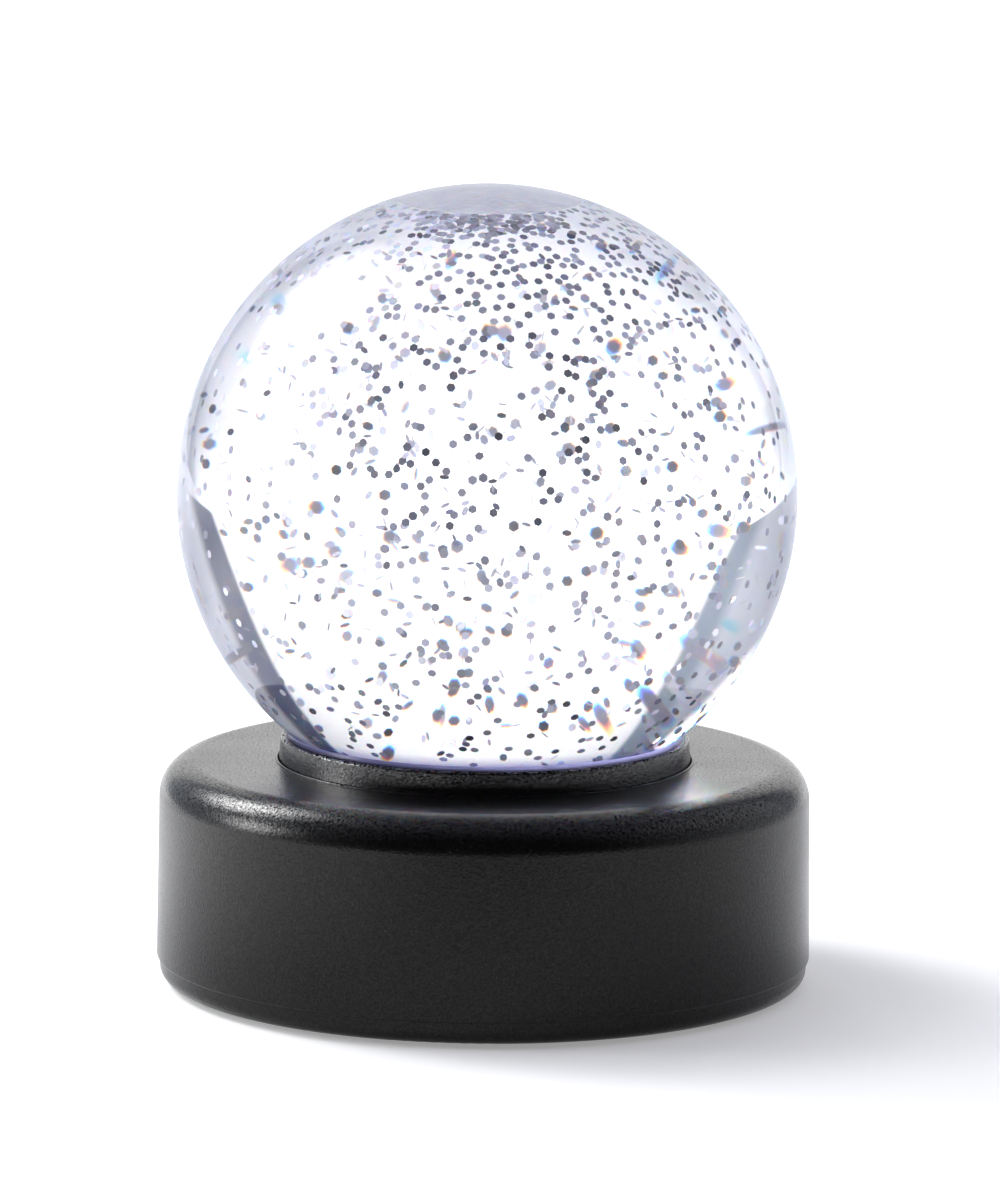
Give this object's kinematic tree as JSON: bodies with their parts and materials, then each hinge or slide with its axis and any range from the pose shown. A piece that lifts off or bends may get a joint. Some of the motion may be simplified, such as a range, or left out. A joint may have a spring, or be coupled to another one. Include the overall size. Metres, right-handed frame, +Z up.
{
  "type": "snow globe",
  "caption": "Clear liquid-filled ball with silver glitter on a round black plinth with a broad rounded shoulder.",
  "frame": {"origin": "on the floor, under the centre of the ball: the bottom centre of the bounding box", "axes": "+Z up along the axis that the ball, collar and plinth turn about; the object looks the same from every side, so X and Y only mark the screws and feet"},
  "size_m": [0.1058, 0.1058, 0.1296],
  "materials": {
    "globe_clear": "clear polished acrylic with a faint lavender tint",
    "liquid_clear": "clear colourless liquid",
    "glitter_silver": "mirror-bright metallised film flakes",
    "adhesive_clear": "clear glossy cured glue",
    "stopper_rubber": "matt black moulded rubber",
    "plug_plastic": "smooth off-white plastic",
    "sealant_rubber": "translucent grey silicone",
    "pad_foam": "closed-cell dark foam",
    "collar_black": "smooth satin black plastic",
    "base_black": "satin black plastic with a fine spark texture",
    "screw_steel": "zinc-plated steel",
    "foot_rubber": "matt black rubber"
  },
  "bodies": {
    "stand": {"globe": "globe_clear", "globe_adhesive": "adhesive_clear", "neck_stopper": "stopper_rubber", "fill_plug": "plug_plastic", "neck_sealant": "sealant_rubber", "stopper_pad": "pad_foam", "collar": "collar_black", "collar_screws": "screw_steel", "base_shell": "base_black", "bottom_cover": "base_black", "cover_screws": "screw_steel", "foot_front_right": "foot_rubber", "foot_back_right": "foot_rubber", "foot_back_left": "foot_rubber", "foot_front_left": "foot_rubber"},
    "liquid": {"liquid_fill": "liquid_clear", "glitter_flakes": "glitter_silver"}
  },
  "joints": [
    {"name": "swirl", "type": "hinge", "parent": "stand", "child": "liquid", "pos_m": [0, 0, 0.0796], "axis": [0, 0, 1], "continuous": true}
  ]
}
